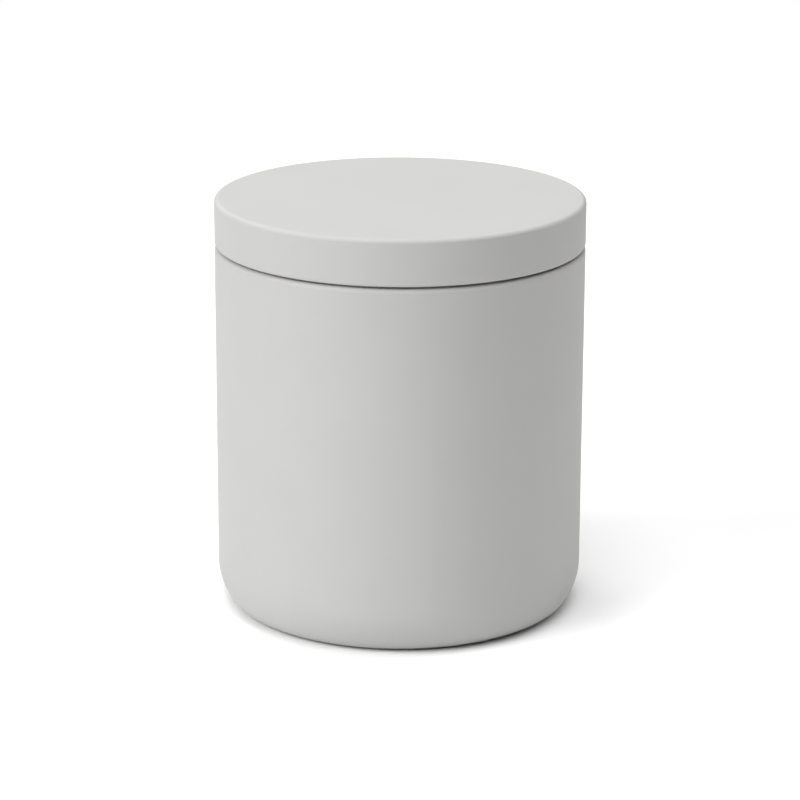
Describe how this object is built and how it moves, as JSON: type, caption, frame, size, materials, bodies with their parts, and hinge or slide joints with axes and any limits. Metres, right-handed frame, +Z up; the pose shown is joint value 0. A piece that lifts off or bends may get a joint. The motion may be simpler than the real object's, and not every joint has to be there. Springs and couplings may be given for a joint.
{
  "type": "candle tin",
  "caption": "Round drawn-metal candle tin with a flush slip-on lid, a foam lid liner and a poured candle with its wick, sustainer and sticker inside.",
  "frame": {"origin": "centre of the base, on the surface that the tin stands on", "axes": "+Z up along the tin's axis of revolution, from the base to the lid; X and Y are level, and nothing on the round tin sets one apart"},
  "size_m": [0.08, 0.08, 0.0905],
  "materials": {
    "tin_coat": "matte powder coat, warm light grey, outside; clear-lacquered tinplate inside",
    "lid_coat": "matte powder coat, warm light grey, outside; clear-lacquered tinplate inside",
    "liner_foam": "white closed-cell foam sheet",
    "wax": "cream poured wax, slightly translucent",
    "wick_cotton": "wax-primed cotton braid",
    "tinplate": "bright tinplate",
    "sticker_foam": "white double-sided foam dot"
  },
  "bodies": {
    "tin": {"tin_body": "tin_coat", "wax": "wax", "wick": "wick_cotton", "wick_sustainer": "tinplate", "wick_sticker": "sticker_foam"},
    "lid": {"lid": "lid_coat", "lid_liner": "liner_foam"}
  },
  "joints": [
    {"name": "lid_lift", "type": "slide", "parent": "tin", "child": "lid", "axis": [0, 0, 1], "range_m": [0, 0.08]}
  ]
}
